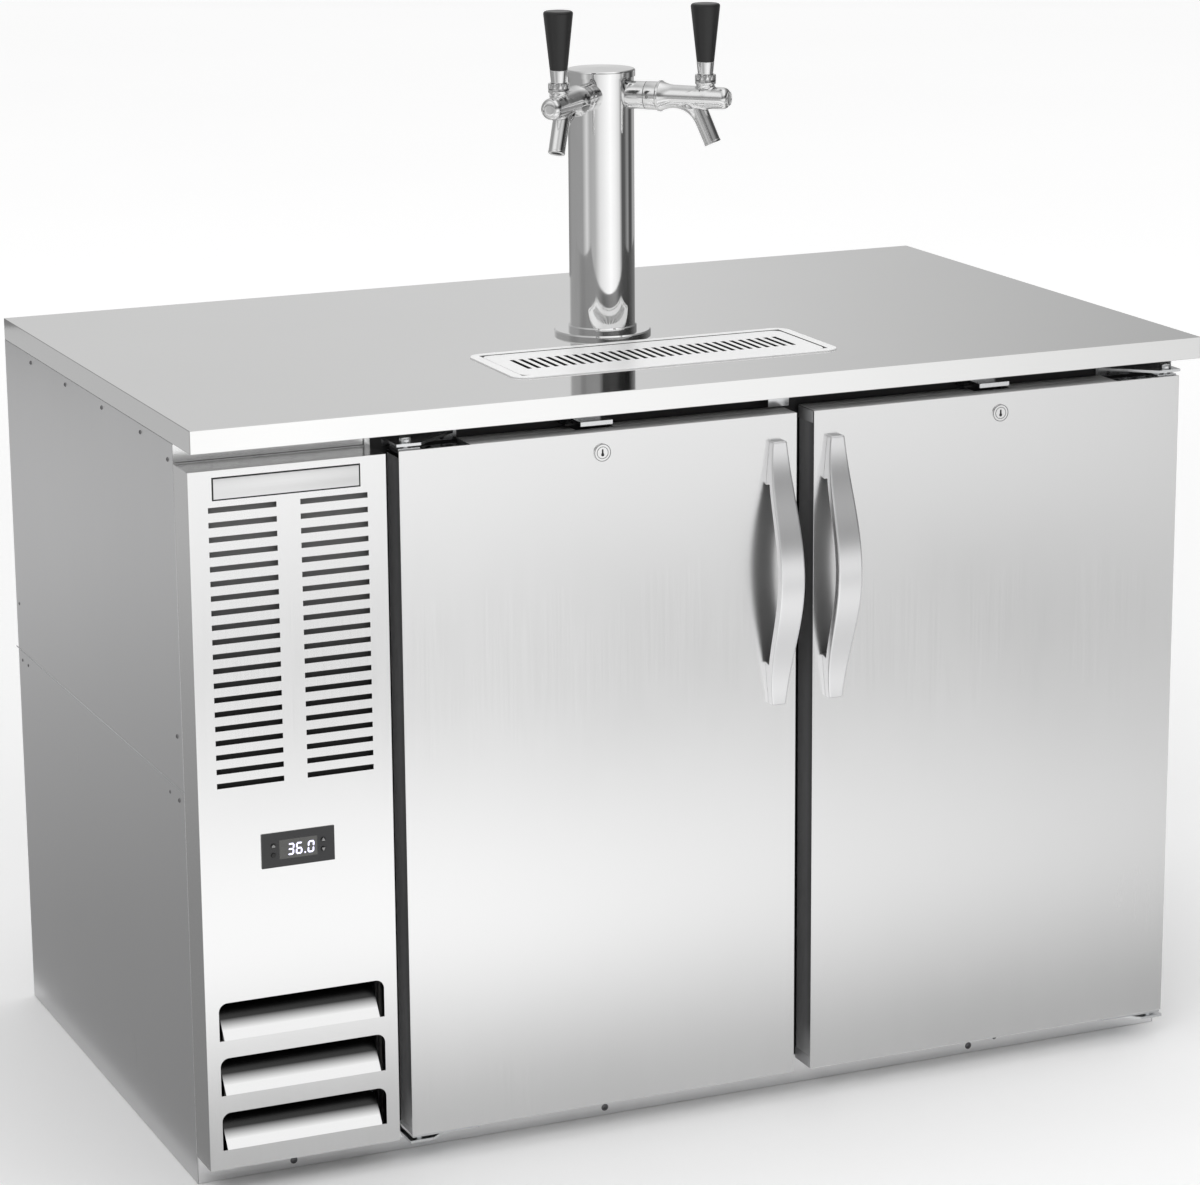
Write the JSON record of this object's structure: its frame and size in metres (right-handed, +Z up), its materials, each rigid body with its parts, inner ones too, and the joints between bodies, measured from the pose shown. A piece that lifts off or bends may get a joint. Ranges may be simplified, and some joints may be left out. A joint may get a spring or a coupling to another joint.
{
  "type": "direct draw beer dispenser",
  "caption": "Stainless under-counter keg cooler with hinged lockable doors, bow handles, a digital controller and a chrome draft tower whose taps pour over a flush drip tray.",
  "frame": {"origin": "on the floor at the centre of the cabinet's base, under the base frame's centre rail", "axes": "+Z up, -Y to the front with the doors and taps, +X to the right as seen from the front"},
  "size_m": [1.2205, 0.7701, 1.2446],
  "materials": {
    "stainless": "vertical brushed grain",
    "side_steel": "satin grey",
    "liner_steel": "satin",
    "frame_plastic": "fine grain",
    "insulation": "closed-cell foam",
    "chrome": "mirror polish",
    "steel_tube": "drawn",
    "grip_black": "moulded",
    "cast_handle": "satin cast",
    "controller_black": "moulded",
    "display_lens": "smoked",
    "machine_black": "satin black",
    "coil_fin": "mill",
    "gasket_rubber": "soft",
    "zinc_steel": "zinc plated",
    "lock_chrome": "polished"
  },
  "bodies": {
    "cabinet": {"base_frame": "side_steel", "left_side_panels": "side_steel", "right_side_panel": "side_steel", "rear_panel": "side_steel", "foam_body": "insulation", "liner": "liner_steel", "front_frame": "frame_plastic", "worktop": "stainless", "front_panel": "stainless", "controller_case": "controller_black", "controller_lens": "display_lens", "compressor": "machine_black", "condenser_coil": "coil_fin", "condenser_shroud": "machine_black", "fan_motors": "machine_black", "evaporator_housing": "liner_steel", "evaporator_coil": "coil_fin", "cord_gland": "controller_black", "hinge_brackets": "zinc_steel", "lock_strikes": "zinc_steel", "tower_flange": "chrome", "tower_column": "chrome", "tower_cap": "chrome", "shanks": "chrome", "coupling_collars": "chrome", "left_faucet_body": "chrome", "right_faucet_body": "chrome", "bonnets": "chrome", "beer_tubes": "steel_tube", "drip_pan": "stainless", "fasteners": "zinc_steel"},
    "left_tap": {"left_lever": "chrome", "left_grip": "grip_black"},
    "right_tap": {"right_lever": "chrome", "right_grip": "grip_black"},
    "left_valve": {"left_valve_shaft": "steel_tube"},
    "right_valve": {"right_valve_shaft": "steel_tube"},
    "grille": {"drip_grille": "stainless"},
    "set_key": {"button_set": "controller_black"},
    "light_key": {"button_light": "controller_black"},
    "up_key": {"button_up": "controller_black"},
    "down_key": {"button_down": "controller_black"},
    "condenser_blower": {"condenser_fan": "coil_fin"},
    "evaporator_blower": {"evaporator_fan": "coil_fin"},
    "left_door": {"left_door_shell": "stainless", "left_door_core": "liner_steel", "left_door_trims": "frame_plastic", "left_gasket": "gasket_rubber", "left_handle": "cast_handle", "left_lock": "lock_chrome", "left_hinge_leaves": "zinc_steel"},
    "left_key_plug": {"left_lock_plug": "lock_chrome"},
    "right_door": {"right_door_shell": "stainless", "right_door_core": "liner_steel", "right_door_trims": "frame_plastic", "right_gasket": "gasket_rubber", "right_handle": "cast_handle", "right_lock": "lock_chrome", "right_hinge_leaves": "zinc_steel"},
    "right_key_plug": {"right_lock_plug": "lock_chrome"}
  },
  "joints": [
    {"name": "left_door_hinge", "type": "hinge", "parent": "cabinet", "child": "left_door", "pos_m": [-0.3625, -0.3685, 0.424], "axis": [0, 0, -1], "range_deg": [0, 120]},
    {"name": "right_door_hinge", "type": "hinge", "parent": "cabinet", "child": "right_door", "pos_m": [0.578, -0.3685, 0.424], "axis": [0, 0, 1], "range_deg": [0, 120]},
    {"name": "left_lock_turn", "type": "hinge", "parent": "left_door", "child": "left_key_plug", "pos_m": [-0.13875, -0.3805, 0.79], "axis": [0, -1, 0], "range_deg": [0, 90]},
    {"name": "right_lock_turn", "type": "hinge", "parent": "right_door", "child": "right_key_plug", "pos_m": [0.35425, -0.3805, 0.79], "axis": [0, 1, 0], "range_deg": [0, 90]},
    {"name": "left_tap_lever", "type": "hinge", "parent": "cabinet", "child": "left_tap", "pos_m": [-0.09058, -0.15558, 1.1526], "axis": [0.7071, -0.7071, 0], "range_deg": [0, 30]},
    {"name": "right_tap_lever", "type": "hinge", "parent": "cabinet", "child": "right_tap", "pos_m": [0.09058, -0.15558, 1.1526], "axis": [0.7071, 0.7071, 0], "range_deg": [0, 30]},
    {"name": "left_valve_slide", "type": "slide", "parent": "cabinet", "child": "left_valve", "axis": [-0.7071, -0.7071, 0], "range_m": [-0.0082, 0]},
    {"name": "right_valve_slide", "type": "slide", "parent": "cabinet", "child": "right_valve", "axis": [0.7071, -0.7071, 0], "range_m": [-0.0082, 0]},
    {"name": "grille_lift", "type": "slide", "parent": "cabinet", "child": "grille", "axis": [0, 0, 1], "range_m": [0, 0.06]},
    {"name": "condenser_fan_spin", "type": "hinge", "parent": "cabinet", "child": "condenser_blower", "pos_m": [-0.4995, -0.265, 0.1425], "axis": [0, 1, 0], "continuous": true},
    {"name": "evaporator_fan_spin", "type": "hinge", "parent": "cabinet", "child": "evaporator_blower", "pos_m": [0.10775, 0.1363, 0.6575], "axis": [0, 1, 0], "continuous": true},
    {"name": "set_button", "type": "slide", "parent": "cabinet", "child": "set_key", "axis": [0, 1, 0], "range_m": [0, 0.0008], "stiffness_N_per_m": 500},
    {"name": "light_button", "type": "slide", "parent": "cabinet", "child": "light_key", "axis": [0, 1, 0], "range_m": [0, 0.0008], "stiffness_N_per_m": 500},
    {"name": "up_button", "type": "slide", "parent": "cabinet", "child": "up_key", "axis": [0, 1, 0], "range_m": [0, 0.0008], "stiffness_N_per_m": 500},
    {"name": "down_button", "type": "slide", "parent": "cabinet", "child": "down_key", "axis": [0, 1, 0], "range_m": [0, 0.0008], "stiffness_N_per_m": 500}
  ],
  "couplings": [
    {"joint": "left_valve_slide", "follows": "left_tap_lever", "m_per_rad": -0.015},
    {"joint": "right_valve_slide", "follows": "right_tap_lever", "m_per_rad": -0.015}
  ]
}
